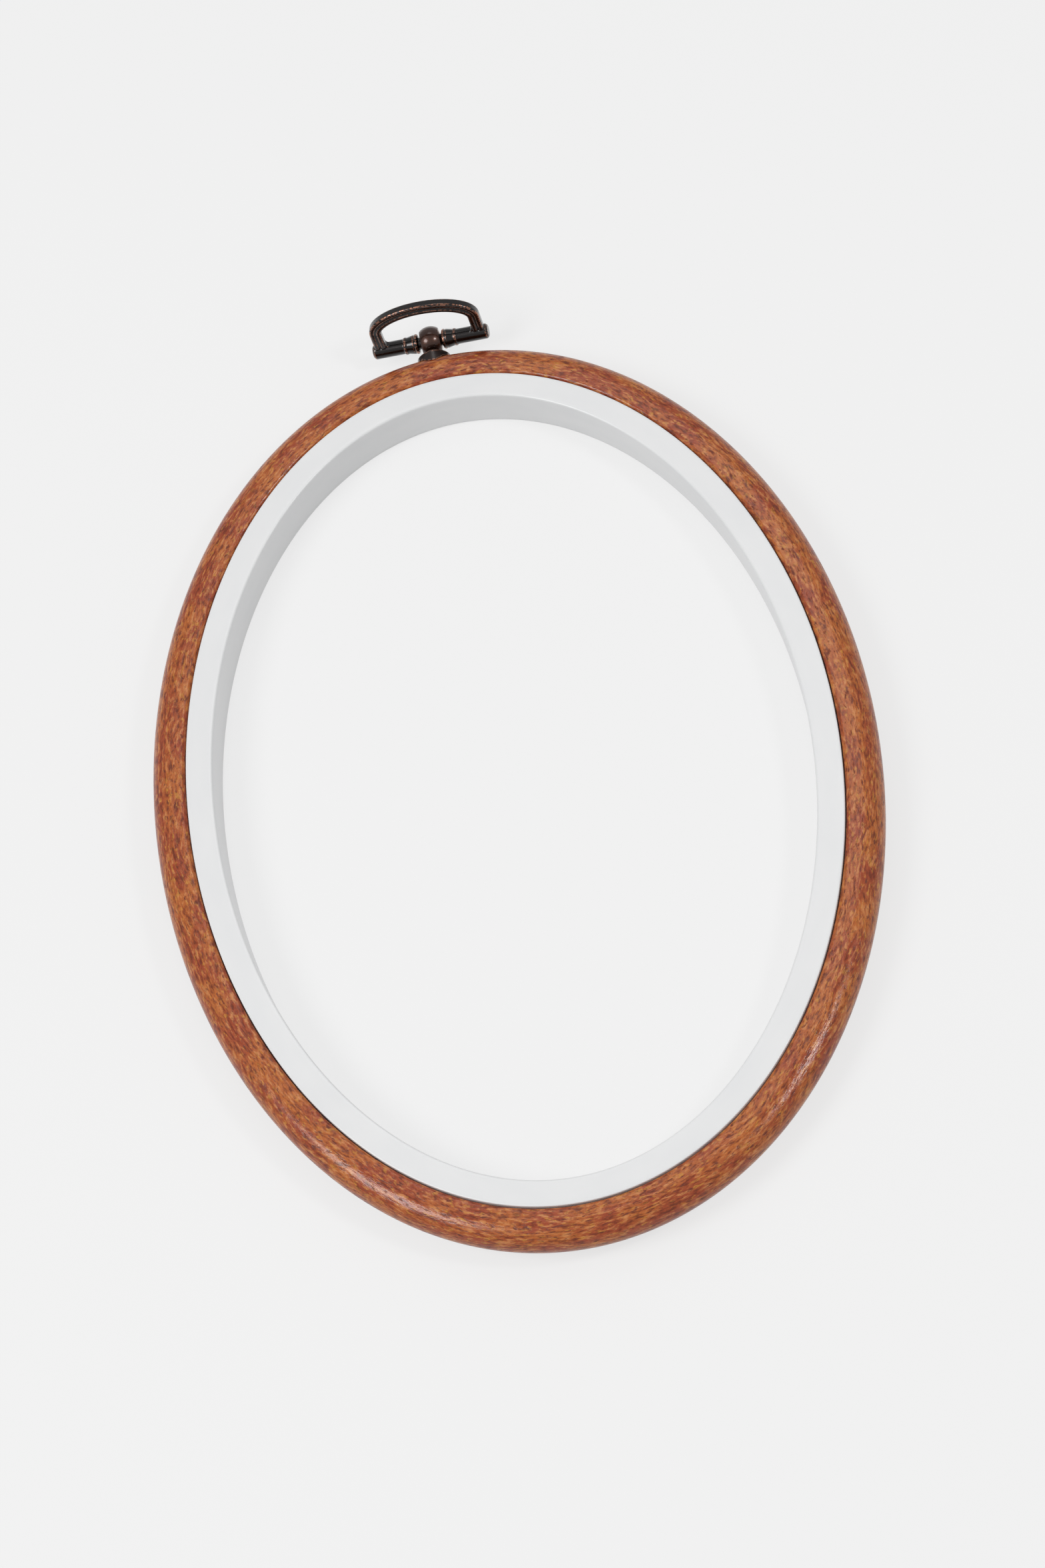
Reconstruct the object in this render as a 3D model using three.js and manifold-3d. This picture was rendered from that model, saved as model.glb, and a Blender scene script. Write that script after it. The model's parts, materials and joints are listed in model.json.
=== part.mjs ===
// Oval embroidery hoop: a rigid white inner hoop, a flexible wood-grain outer hoop stretched over it,
// and a hanging ring held to the outer hoop by a split pin and a cup washer.
// Millimetres. The hoop lies on its back with its front up (+Z) and its hanging ring at the far end (+Y).
import * as THREE from 'three';
import { mergeVertices, toCreasedNormals } from 'three/addons/utils/BufferGeometryUtils.js';
import Module from 'manifold-3d';

const wasm = await Module();
wasm.setup();

// Oval line where the two hoops meet: 8 in long and 5 1/2 in wide
const meetingLength = 203.2;
const meetingWidth = 139.7;

// Outer hoop, a soft moulded ring with a flat front and a rounded outside
const outerHoopWidth = 8;
const outerHoopDepth = 8.6;
const outerHoopCrown = 4.6;        // how much of the width is taken up by the rounded outside
const outerHoopEdge = 0.9;         // rounding of its two inner edges

// Inner hoop, a moulded ring with a channel in its back
const innerHoopWidth = 5.6;
const innerHoopDraft = 0.3;        // how much wider the section is at the back than at the front
const innerHoopWall = 1.5;         // the two walls beside the channel
const innerHoopSkin = 2;           // plastic left over the channel at the front
const innerHoopEdge = 0.5;         // rounding of the front edge beside the outer hoop
const innerHoopRound = 0.5;        // rounding of the front edge round the opening
const lipReach = 1.6;              // how far the lip goes out under the outer hoop
const lipThickness = 1.8;
const gripCount = 3;               // ridges round the outside that grip the cloth
const gripHeight = 0.35;
const gripWidth = 0.4;
const gripFlank = 0.35;
const ribCount = 24;               // stiffening ribs across the channel
const ribThickness = 1;
const ribSetBack = 1.2;            // from the back rim up to the ribs
const ribRoot = 0.3;               // how far a rib runs into the plastic round it

// Cup washer between the outer hoop and the pin's head
const washerRadius = 3.8;
const washerTopRadius = 2.2;
const washerHeight = 1.75;
const washerRim = 0.5;             // straight edge round the foot of the cup
const washerSkirt = 2.6;           // how far the cup would reach down before it is fitted to the hoop

// Split pin: a ball head with a cross hole, on two half-round legs
const headRadius = 3.45;
const headFlat = 2.2;              // from the head's middle to each of its flat sides
const legRadius = 1.1;
const legGap = 0.2;                // between the two flat sides of the legs
const legBendRadius = 1;
const legReach = 2.7;              // from the pin's centre to a leg's end, inside the hoop
const legDepth = 0.8;              // how far the spread legs stay back from the hoop's inner face

// Hanging ring: a turned cross bar and a reeded arch
const barLength = 26.8;
const barRadius = 1.75;
const barChamfer = 0.45;
const barNeckRadius = 1.4;         // in the hole of the pin's head
const beadRadius = 2.3;            // bead on each side of the head
const beadLength = 0.8;
const shoulderRadius = 2.2;        // start of the long taper
const shoulderEdge = 0.15;
const taperRadius = 1.85;
const taperEnd = 5.4;              // from the bar's middle to the foot of the taper
const collarRadius = 1.98;
const collarLength = 0.7;
const collarEdge = 0.12;
const archWidth = 25.4;
const archHeight = 12.3;           // from the bar's axis to the top of the arch
const archLimb = 5.8;              // straight part of each side
const archBand = 2.65;             // width of the arch's band, seen from the front
const archThickness = 2.1;
const archCorner = 0.45;           // cut off the corners of the arch's section
const archFillet = 1;              // inside corners between the arch and the bar
const filletThickness = 1.7;
const reedDepth = 0.3;             // groove between the two reeds, on each face
const reedWidth = 0.75;

// How the hanging ring stands in the pin's head, in degrees
const hangerRise = 80;             // from straight out to upright
const hangerSwivel = -4;
const hangerLean = -6;

// Clearances
const hoopGap = 0.3;               // between the two hoops, all round
const seatGap = 0.3;               // between pieces that rest on each other
const holeGap = 0.32;              // round the pin in its hole and recess, and round the bar in its hole
const beadGap = 0.32;              // between the head's flat sides and the beads

// Smoothness
const ringSegments = 80;
const crownSteps = 12;
const edgeSteps = 3;
const roundSteps = 4;
const barSides = 24;
const beadSteps = 4;
const archSteps = 34;
const filletSteps = 4;
const headSides = 32;
const headSteps = 10;
const legSides = 8;
const legSteps = 26;
const washerSides = 32;
const flareSteps = 6;
const holeSides = 20;
const sharpAngle = 32;             // degrees; gentler edges are shaded smooth

const rad = THREE.MathUtils.degToRad;

// Heights and places that follow from the sizes above
const outerHoopBack = lipThickness + seatGap;
const outerHoopFront = outerHoopBack + outerHoopDepth;
const outerHoopMiddle = (outerHoopBack + outerHoopFront) / 2;
const crestY = meetingLength / 2 + outerHoopWidth;
const headY = crestY + washerHeight + seatGap + headRadius;
const pinHoleRadius = legRadius + legGap / 2 + holeGap;
const recessDepth = seatGap + legRadius + legDepth;
const recessWidth = 2 * (legRadius + holeGap);
const recessLength = 2 * (legReach + holeGap);
const rockSlope = Math.tan(Math.hypot(rad(hangerSwivel), rad(hangerLean)));

// Points along part of an ellipse, from one angle in degrees to another
function arc(x, y, radiusX, radiusY, from, to, steps) {
  return Array.from({ length: steps + 1 }, (_, i) => {
    const angle = rad(from + (to - from) * i / steps);
    return [x + radiusX * Math.cos(angle), y + radiusY * Math.sin(angle)];
  });
}

// Welds a geometry's shared corners, drops empty triangles and turns its faces outward
function weld(geometry) {
  const bare = geometry.clone();
  bare.deleteAttribute('normal');
  bare.deleteAttribute('uv');
  const welded = mergeVertices(bare, 1e-4);
  const corners = welded.attributes.position;
  const triangles = [];
  const [a, b, c] = [new THREE.Vector3(), new THREE.Vector3(), new THREE.Vector3()];
  let volume = 0;
  for (let i = 0; i < welded.index.count; i += 3) {
    const triangle = [welded.index.getX(i), welded.index.getX(i + 1), welded.index.getX(i + 2)];
    if (new Set(triangle).size < 3) continue;
    triangles.push(triangle);
    a.fromBufferAttribute(corners, triangle[0]);
    b.fromBufferAttribute(corners, triangle[1]);
    c.fromBufferAttribute(corners, triangle[2]);
    volume += a.dot(b.cross(c)) / 6;
  }
  if (volume < 0) triangles.forEach((triangle) => triangle.reverse());
  welded.setIndex(triangles.flat());
  return welded;
}

function toSolid(geometry) {
  const welded = weld(geometry);
  return new wasm.Manifold(new wasm.Mesh({
    numProp: 3,
    vertProperties: Float32Array.from(welded.attributes.position.array),
    triVerts: Uint32Array.from(welded.index.array),
  }));
}

function toGeometry(solid) {
  const mesh = solid.getMesh();
  const geometry = new THREE.BufferGeometry();
  geometry.setAttribute('position', new THREE.BufferAttribute(mesh.vertProperties, 3));
  geometry.setIndex(new THREE.BufferAttribute(mesh.triVerts, 1));
  return geometry;
}

// A point beside the meeting line: the angle runs round the oval from its far end, and the offset is
// measured square to the line, outward
function ovalPoint(angle, offset) {
  const [sine, cosine] = [Math.sin(angle), Math.cos(angle)];
  const point = new THREE.Vector2(meetingWidth / 2 * sine, meetingLength / 2 * cosine);
  const outward = new THREE.Vector2(sine / meetingWidth, cosine / meetingLength).normalize();
  return point.addScaledVector(outward, offset);
}

// Carries a closed section of [offset, height] points round the oval: the section is turned on a circle,
// and each of its points is then moved to its place beside the meeting line
function ovalRing(section) {
  const layoutRadius = meetingWidth / 2;
  const closed = [...section, section[0]];
  const ring = turned(closed.map(([offset, height]) => [layoutRadius + offset, height]), ringSegments);
  const corners = ring.attributes.position;
  for (let i = 0; i < corners.count; i++) {
    const [x, height, z] = [corners.getX(i), corners.getY(i), corners.getZ(i)];
    const point = ovalPoint(Math.atan2(x, z), Math.hypot(x, z) - layoutRadius);
    corners.setXYZ(i, point.x, point.y, height);
  }
  return ring;
}

// Turns a profile of [radius, height] points about the y axis
function turned(profile, sides) {
  return new THREE.LatheGeometry(flatPoints(profile), sides);
}

function flatPoints(pairs) {
  return pairs.map(([x, y]) => new THREE.Vector2(x, y));
}

// A flat path of lines and arcs, stood in space: its x runs along one direction and its y along another.
// A section that follows it has its x to the left of the path and its y square to the path's plane.
class FlatCurve extends THREE.Curve {
  constructor(path, alongX, alongY) {
    super();
    Object.assign(this, { path, alongX, alongY });
  }

  getPoint(t, target = new THREE.Vector3()) {
    const point = this.path.getPoint(t);
    return target.set(0, 0, 0).addScaledVector(this.alongX, point.x).addScaledVector(this.alongY, point.y);
  }

  computeFrenetFrames(steps) {
    const across = new THREE.Vector3().crossVectors(this.alongX, this.alongY);
    const tangents = Array.from({ length: steps + 1 }, (_, i) => this.getTangentAt(i / steps));
    const normals = tangents.map((tangent) => new THREE.Vector3().crossVectors(across, tangent));
    const binormals = tangents.map(() => across.clone());
    return { tangents, normals, binormals };
  }
}

// Outer hoop: a D-shaped section, with a hole for the pin and a recess inside for its spread legs
function outerHoopSection(swell) {
  const half = outerHoopDepth / 2;
  const edge = outerHoopEdge + swell;
  const crownStart = outerHoopWidth - outerHoopCrown;
  return [
    ...arc(outerHoopEdge, outerHoopBack + outerHoopEdge, edge, edge, 180, 270, edgeSteps),
    ...arc(crownStart, outerHoopMiddle, outerHoopCrown + swell, half + swell, -90, 90, crownSteps),
    ...arc(outerHoopEdge, outerHoopFront - outerHoopEdge, edge, edge, 90, 180, edgeSteps),
  ];
}

function outerHoop() {
  const hole = new THREE.CylinderGeometry(pinHoleRadius, pinHoleRadius, 2 * outerHoopWidth, holeSides);
  hole.translate(0, crestY - outerHoopWidth / 2, outerHoopMiddle);
  const recess = new THREE.BoxGeometry(recessWidth, 2 * recessDepth, recessLength);
  recess.translate(0, crestY - outerHoopWidth, outerHoopMiddle);
  const ring = toSolid(ovalRing(outerHoopSection(0)));
  return toGeometry(ring.subtract(toSolid(hole)).subtract(toSolid(recess)));
}

// Inner hoop: front band, inside wall, channel in the back with ribs across it, and a lip with grip
// ridges above it on the outside
function innerHoopSection() {
  const outside = -hoopGap;
  const inside = outside - innerHoopWidth;
  const relief = outside - gripHeight;
  const front = outerHoopFront;
  const channelOuter = relief - innerHoopWall;
  const channelInner = inside + innerHoopWall;
  const channelTop = front - innerHoopSkin;
  const gripSpan = gripWidth + 2 * gripFlank;
  const gripPitch = (front - lipThickness - innerHoopSkin) / gripCount;
  const grips = Array.from({ length: gripCount }, (_, i) => {
    const foot = lipThickness + (i + 0.5) * gripPitch - gripSpan / 2;
    return [
      [relief, foot],
      [outside, foot + gripFlank],
      [outside, foot + gripFlank + gripWidth],
      [relief, foot + gripSpan],
    ];
  });
  return [
    [lipReach, 0],
    [lipReach, lipThickness],
    [relief, lipThickness],
    ...grips.flat(),
    [relief, front - innerHoopSkin],
    [outside, front - innerHoopSkin + gripFlank],
    ...arc(outside - innerHoopEdge, front - innerHoopEdge, innerHoopEdge, innerHoopEdge, 0, 90, edgeSteps),
    ...arc(
      inside + innerHoopRound, front - innerHoopRound, innerHoopRound, innerHoopRound,
      90, 180, roundSteps,
    ),
    [inside - innerHoopDraft, 0],
    [channelInner - innerHoopDraft, 0],
    [channelInner, channelTop],
    [channelOuter, channelTop],
    [channelOuter, 0],
  ];
}

function innerHoop() {
  const outer = -hoopGap - gripHeight - innerHoopWall + ribRoot;
  const inner = -hoopGap - innerHoopWidth + innerHoopWall - innerHoopDraft - ribRoot;
  const top = outerHoopFront - innerHoopSkin + ribRoot;
  let hoop = toSolid(ovalRing(innerHoopSection()));
  for (let i = 0; i < ribCount; i++) {
    const angle = (i + 0.5) / ribCount * 2 * Math.PI;
    const middle = ovalPoint(angle, (outer + inner) / 2);
    const outward = ovalPoint(angle, 1).sub(ovalPoint(angle, 0));
    const rib = new THREE.BoxGeometry(outer - inner, ribThickness, top - ribSetBack);
    rib.rotateZ(outward.angle());
    rib.translate(middle.x, middle.y, (top + ribSetBack) / 2);
    hoop = hoop.add(toSolid(rib));
  }
  return toGeometry(hoop);
}

// Cup washer: a flared cup whose foot is shaped to sit on the rounded outside of the hoop
function cupWasher() {
  const profile = [
    [0, -washerSkirt],
    [washerRadius, -washerSkirt],
    [washerRadius, washerRim],
    ...arc(
      washerRadius, washerHeight, washerRadius - washerTopRadius, washerHeight - washerRim,
      270, 180, flareSteps,
    ).slice(1),
    [0, washerHeight],
  ];
  const cup = toSolid(turned(profile, washerSides).translate(0, crestY, outerHoopMiddle));
  const holeLength = 3 * (washerSkirt + washerHeight);
  const hole = new THREE.CylinderGeometry(pinHoleRadius, pinHoleRadius, holeLength, holeSides);
  hole.translate(0, crestY, outerHoopMiddle);
  const hoop = toSolid(ovalRing(outerHoopSection(seatGap)));
  return toGeometry(cup.subtract(toSolid(hole)).subtract(hoop));
}

// Split pin: its ball head has a cross hole that widens to both sides, so that the bar can rock in it.
// Its legs run down through the washer and the hoop and are spread apart behind it.
function splitPin() {
  const sideAngle = THREE.MathUtils.radToDeg(Math.asin(headFlat / headRadius));
  const headProfile = [
    [0, -headFlat],
    ...arc(0, 0, headRadius, headRadius, -sideAngle, sideAngle, headSteps),
    [0, headFlat],
  ];
  const boreRadius = barNeckRadius + holeGap;
  const boreEnd = boreRadius + headRadius * rockSlope;
  const boreProfile = [
    [0, -headRadius],
    [boreEnd, -headRadius],
    [boreRadius, 0],
    [boreEnd, headRadius],
    [0, headRadius],
  ];
  const acrossHead = (profile) => toSolid(
    turned(profile, headSides).rotateZ(-Math.PI / 2).translate(0, headY, outerHoopMiddle),
  );

  // A leg is drawn from its spread end inward and up, with x along the hoop's depth
  const middle = legRadius / 2;
  const legX = legGap / 2 + middle;
  const footY = crestY - outerHoopWidth + legDepth + middle;
  const path = new THREE.Path();
  path.moveTo(legReach, footY);
  path.lineTo(legX + legBendRadius, footY);
  path.absarc(legX + legBendRadius, footY + legBendRadius, legBendRadius, -Math.PI / 2, -Math.PI, true);
  path.lineTo(legX, headY - (headRadius + boreEnd) / 2);
  const section = new THREE.Shape(flatPoints(arc(middle, 0, legRadius, legRadius, 90, 270, legSides)));
  const legs = [1, -1].map((side) => {
    const extrudePath = new FlatCurve(path, new THREE.Vector3(0, 0, side), new THREE.Vector3(0, 1, 0));
    const leg = new THREE.ExtrudeGeometry(section, { steps: legSteps, extrudePath });
    return toSolid(leg.translate(0, 0, outerHoopMiddle));
  });
  return toGeometry(acrossHead(headProfile).add(legs[0]).add(legs[1]).subtract(acrossHead(boreProfile)));
}

// Hanging ring, with the bar's axis along x and the arch toward +y
function hangingRing() {
  const neckEnd = headFlat + beadGap + beadRadius * rockSlope;
  const beadEnd = neckEnd + beadLength;
  const beadCore = beadRadius - beadLength / 2;
  const half = [
    [barNeckRadius, neckEnd],
    ...arc(beadCore, neckEnd + beadLength / 2, beadLength / 2, beadLength / 2, -90, 90, beadSteps),
    [shoulderRadius, beadEnd + shoulderEdge],
    [taperRadius, taperEnd],
    [collarRadius, taperEnd + collarEdge],
    [collarRadius, taperEnd + collarLength - collarEdge],
    [barRadius, taperEnd + collarLength],
    [barRadius, barLength / 2 - barChamfer],
    [barRadius - barChamfer, barLength / 2],
    [0, barLength / 2],
  ];
  const mirrored = half.map(([radius, height]) => [radius, -height]).reverse();
  const bar = toSolid(turned([...mirrored, ...half], barSides).rotateZ(-Math.PI / 2));

  const limbX = (archWidth - archBand) / 2;
  const path = new THREE.Path();
  path.moveTo(limbX, 0);
  path.lineTo(limbX, archLimb);
  path.absellipse(0, archLimb, limbX, archHeight - archBand / 2 - archLimb, 0, Math.PI, false);
  path.lineTo(-limbX, 0);
  const extrudePath = new FlatCurve(path, new THREE.Vector3(1, 0, 0), new THREE.Vector3(0, 1, 0));
  const arch = toSolid(new THREE.ExtrudeGeometry(archSection(), { steps: archSteps, extrudePath }));

  const fillets = [1, -1].map((side) => toSolid(cornerFillet(side, limbX - archBand / 2)));
  return toGeometry(bar.add(arch).add(fillets[0]).add(fillets[1]));
}

// Section of the arch's band: two reeds on each face with a groove between them
function archSection() {
  const halfBand = archBand / 2;
  const halfThick = archThickness / 2;
  const face = [
    [halfBand - archCorner, halfThick],
    [reedWidth / 2, halfThick],
    [0, halfThick - reedDepth],
    [-reedWidth / 2, halfThick],
    [-halfBand + archCorner, halfThick],
    [-halfBand, halfThick - archCorner],
  ];
  return new THREE.Shape(flatPoints([...face, ...face.map(([x, y]) => [-x, -y])]));
}

// Filling in the corner between the bar and a side of the arch
function cornerFillet(side, innerFace) {
  const foot = Math.sqrt(barRadius ** 2 - (filletThickness / 2) ** 2);
  const outline = [
    [innerFace - archFillet, 0],
    ...arc(innerFace - archFillet, foot + archFillet, archFillet, archFillet, -90, 0, filletSteps),
    [innerFace + archBand / 2, foot],
    [innerFace + archBand / 2, 0],
  ];
  const shape = new THREE.Shape(flatPoints(outline.map(([x, y]) => [side * x, y])));
  const fillet = new THREE.ExtrudeGeometry(shape, { depth: filletThickness, bevelEnabled: false });
  return fillet.translate(0, 0, -filletThickness / 2);
}

function piece(name, geometry, color, roughness, metalness) {
  const material = new THREE.MeshStandardMaterial({ color, roughness, metalness });
  const mesh = new THREE.Mesh(toCreasedNormals(geometry, rad(sharpAngle)), material);
  mesh.name = name;
  return mesh;
}

const hoop = new THREE.Group();
hoop.add(piece('inner_hoop', innerHoop(), 0xe6e8ea, 0.35, 0));
hoop.add(piece('outer_hoop', outerHoop(), 0xa4603d, 0.45, 0));
hoop.add(piece('split_pin', splitPin(), 0x6b3f2a, 0.35, 0.9));
hoop.add(piece('cup_washer', cupWasher(), 0x4a2f24, 0.4, 0.9));

// The hanging ring's bar lies through the pin's head, a little askew, with the arch standing up
const hanger = new THREE.Group();
hanger.add(piece('hanging_ring', hangingRing(), 0x2f2320, 0.4, 0.9));
hanger.position.set(0, headY, outerHoopMiddle);
hanger.rotation.set(rad(hangerRise), rad(hangerSwivel), rad(hangerLean), 'ZYX');
hoop.add(hanger);

// The origin is under the middle of the whole object, on the surface that it lies on
const bounds = new THREE.Box3().setFromObject(hoop, true);
const middle = bounds.getCenter(new THREE.Vector3());
hoop.position.set(-middle.x, -middle.y, -bounds.min.z);

export default hoop;
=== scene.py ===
import bpy
import bmesh
import json
from math import asin, atan2, copysign, cos, hypot, pi, radians, sin, sqrt, tan
from mathutils import Euler, Matrix, Quaternion, Vector


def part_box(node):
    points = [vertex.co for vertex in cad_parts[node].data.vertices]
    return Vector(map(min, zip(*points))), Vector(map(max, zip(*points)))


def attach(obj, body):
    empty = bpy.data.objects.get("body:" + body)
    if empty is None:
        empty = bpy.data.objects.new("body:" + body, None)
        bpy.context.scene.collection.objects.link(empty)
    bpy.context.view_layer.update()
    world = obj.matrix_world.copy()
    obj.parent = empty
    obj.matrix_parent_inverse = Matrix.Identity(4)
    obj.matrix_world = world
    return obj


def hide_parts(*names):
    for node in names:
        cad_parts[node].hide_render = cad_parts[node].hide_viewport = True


# Oval embroidery hoop, lying on its back with its front up and its hanging ring at the far end (+Y).
# Shapes are drawn in millimetres and turned to metres when a piece is finished.

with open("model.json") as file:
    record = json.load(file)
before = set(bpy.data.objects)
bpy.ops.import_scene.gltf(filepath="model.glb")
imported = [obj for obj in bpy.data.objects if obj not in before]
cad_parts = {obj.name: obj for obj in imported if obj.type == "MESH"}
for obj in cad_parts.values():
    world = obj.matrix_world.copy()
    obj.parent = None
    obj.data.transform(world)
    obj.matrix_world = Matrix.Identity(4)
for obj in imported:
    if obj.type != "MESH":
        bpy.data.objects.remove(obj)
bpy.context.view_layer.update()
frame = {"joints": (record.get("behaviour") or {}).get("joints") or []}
print("frame loaded")

mm = 0.001
turnedMerge = 0.001        # mm; joins the ends of a turned surface
cutMerge = 1e-7            # metres; joins what a cut leaves doubled
crispAngle = 32            # degrees; sharper edges than this stay crisp


def box(node):
    low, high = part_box(node)
    return low / mm, high / mm


# Places that every piece is built on, taken from the fixed frame
outerLow, outerHigh = box("outer_hoop")
innerLow, innerHigh = box("inner_hoop")
swing = next(joint for joint in frame["joints"] if joint["name"] == "hanging_ring_swing")
barMiddle = Vector(swing["pos_m"]) / mm
hoopMiddleY = (innerLow.y + innerHigh.y) / 2

outerHoop = {
    "width": 8,
    "crown": 4.6,          # how much of the width is taken up by the rounded outside
    "edge": 0.9,           # rounding of the two inner edges
    "setBack": 0.15,       # from the meeting line to its inner face
    "pinHole": 1.52,       # radius of the hole for the pin
    "recess": (2.84, 2.2, 6.04),  # width, depth and height, in the inside, for the pin's spread legs
    "crownSteps": 36,
    "spacing": 0.42,
    "ringSteps": 420,
}

# Half sizes of the oval line where the two hoops meet
halfWidth = (outerHigh.x - outerLow.x) / 2 - outerHoop["width"]
halfLength = (innerHigh.y - innerLow.y) / 2 - (innerHigh.x - innerLow.x) / 2 + halfWidth
crestY = hoopMiddleY + halfLength + outerHoop["width"]
hoopMiddleZ = (outerLow.z + outerHigh.z) / 2


# Outlines

def arcPoints(x, y, radiusX, radiusY, startAngle, endAngle, steps):
    angles = [radians(startAngle + (endAngle - startAngle) * i / steps) for i in range(steps + 1)]
    return [(x + radiusX * cos(angle), y + radiusY * sin(angle)) for angle in angles]


# Rounds the corners of a closed outline, each given as x, y and radius, and fills its long straight
# stretches with points, so that shading stays crisp beside a rounded corner
def roundedOutline(corners, spacing, turnStep=15):
    rounded = []
    for i, (x, y, radius) in enumerate(corners):
        here = Vector((x, y))
        back = (Vector(corners[i - 1][:2]) - here).normalized()
        ahead = (Vector(corners[(i + 1) % len(corners)][:2]) - here).normalized()
        inside = back.angle(ahead)
        if radius == 0:
            rounded.append(here)
            continue
        centre = here + (back + ahead).normalized() * radius / sin(inside / 2)
        first = here + back * radius / tan(inside / 2) - centre
        side = copysign(1, back.cross(ahead))
        steps = max(2, round((180 - inside * 180 / pi) / turnStep))
        for step in range(steps + 1):
            turn = -side * (pi - inside) * step / steps
            rounded.append(centre + Matrix.Rotation(turn, 2) @ first)
    outline = []
    for i, here in enumerate(rounded):
        ahead = rounded[(i + 1) % len(rounded)]
        parts = max(1, round((ahead - here).length / spacing))
        outline += [here.lerp(ahead, part / parts) for part in range(parts)]
    return [tuple(point) for point in outline]


# Making and finishing meshes

# A wire loop of a few vertices, which the operators then turn or draw out into a surface
def wire(bm, points, closed=True):
    corners = [bm.verts.new(point) for point in points]
    first = 0 if closed else 1
    return corners + [bm.edges.new((corners[i - 1], corners[i])) for i in range(first, len(corners))]


def turned(points, axis, steps, closed=False):
    bm = bmesh.new()
    geometry = wire(bm, points, closed)
    bmesh.ops.spin(bm, geom=geometry, cent=(0, 0, 0), axis=axis, angle=2 * pi, steps=steps, use_merge=True)
    bmesh.ops.remove_doubles(bm, verts=bm.verts, dist=turnedMerge)
    return bm


# Brings a mesh from millimetres to metres, turns its faces outward and marks its sharp edges
def finished(bm, name, sharpAngle=crispAngle):
    bmesh.ops.scale(bm, vec=(mm, mm, mm), verts=bm.verts)
    bmesh.ops.recalc_face_normals(bm, faces=bm.faces)
    for face in bm.faces:
        face.smooth = True
    for edge in bm.edges:
        edge.smooth = edge.calc_face_angle(0) < radians(sharpAngle)
    mesh = bpy.data.meshes.new(name)
    bm.to_mesh(mesh)
    bm.free()
    piece = bpy.data.objects.new(name, mesh)
    bpy.context.scene.collection.objects.link(piece)
    return piece


# Joins or cuts a piece with others, which are used up by it
def combined(piece, operation, others):
    for other in others:
        modifier = piece.modifiers.new(operation, "BOOLEAN")
        modifier.operation = operation
        modifier.solver = "MANIFOLD"
        modifier.object = other
    bakedIn(piece)
    for other in others:
        bpy.data.objects.remove(other)
    return piece


# Makes a piece's modifiers part of its mesh
def bakedIn(piece):
    bpy.context.view_layer.update()
    shown = piece.evaluated_get(bpy.context.evaluated_depsgraph_get())
    mesh = bpy.data.meshes.new_from_object(shown)
    piece.modifiers.clear()
    piece.data = mesh
    return piece


# Joins what a cut leaves doubled and marks the sharp edges again
def sharpened(piece, sharpAngle=crispAngle):
    bm = bmesh.new()
    bm.from_mesh(piece.data)
    bmesh.ops.remove_doubles(bm, verts=bm.verts, dist=cutMerge)
    for face in bm.faces:
        face.smooth = True
    for edge in bm.edges:
        edge.smooth = edge.calc_face_angle(0) < radians(sharpAngle)
    bm.to_mesh(piece.data)
    bm.free()
    return piece


def block(size, place):
    bm = bmesh.new()
    bmesh.ops.create_cube(bm, size=1)
    bmesh.ops.scale(bm, vec=size, verts=bm.verts)
    bmesh.ops.translate(bm, vec=place, verts=bm.verts)
    return bm


def rod(radius, length, turn, place, segments=48):
    bm = bmesh.new()
    bmesh.ops.create_cone(
        bm, cap_ends=True, segments=segments, radius1=radius, radius2=radius, depth=length)
    bmesh.ops.transform(bm, matrix=Matrix.Translation(place) @ turn, verts=bm.verts)
    return bm


# The oval

# A point beside the meeting line, with the offset measured square to it, outward. The angle runs from
# the far end.
def ovalPoint(angle, offset):
    outward = Vector((sin(angle) / halfWidth, cos(angle) / halfLength)).normalized()
    return Vector((halfWidth * sin(angle), halfLength * cos(angle))) + outward * offset


# The angle and offset of a point near the oval
def ovalPlace(x, y):
    angle = atan2(x / halfWidth, y / halfLength)
    for attempt in range(4):
        line = Vector((halfWidth * sin(angle), halfLength * cos(angle)))
        along = Vector((halfWidth * cos(angle), -halfLength * sin(angle)))
        bend = Vector((-halfWidth * sin(angle), -halfLength * cos(angle)))
        away = Vector((x, y)) - line
        angle += away.dot(along) / (along.length_squared - away.dot(bend))
    outward = Vector((sin(angle) / halfWidth, cos(angle) / halfLength)).normalized()
    away = Vector((x, y)) - Vector((halfWidth * sin(angle), halfLength * cos(angle)))
    return angle, away.dot(outward)


# Distance along the meeting line for a row of angles, so that the grain keeps its scale all round
ovalSteps = 720
ovalRun = [0]
for step in range(ovalSteps):
    ends = [ovalPoint(2 * pi * (step + i) / ovalSteps, 0) for i in (0, 1)]
    ovalRun.append(ovalRun[-1] + (ends[1] - ends[0]).length)


# Turns a section of offset and height points on a circle, then moves each point to the oval
def ovalRing(section, steps):
    layoutRadius = halfWidth
    bm = turned([(layoutRadius + offset, 0, height) for offset, height in section], (0, 0, 1), steps, True)
    for vert in bm.verts:
        angle = atan2(vert.co.x, vert.co.y)
        point = ovalPoint(angle, hypot(vert.co.x, vert.co.y) - layoutRadius)
        vert.co = (point.x, point.y + hoopMiddleY, vert.co.z)
    return bm


seamAngle = radians(-133)  # where a hoop's pattern starts and ends round its section, at the inner back edge


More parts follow.
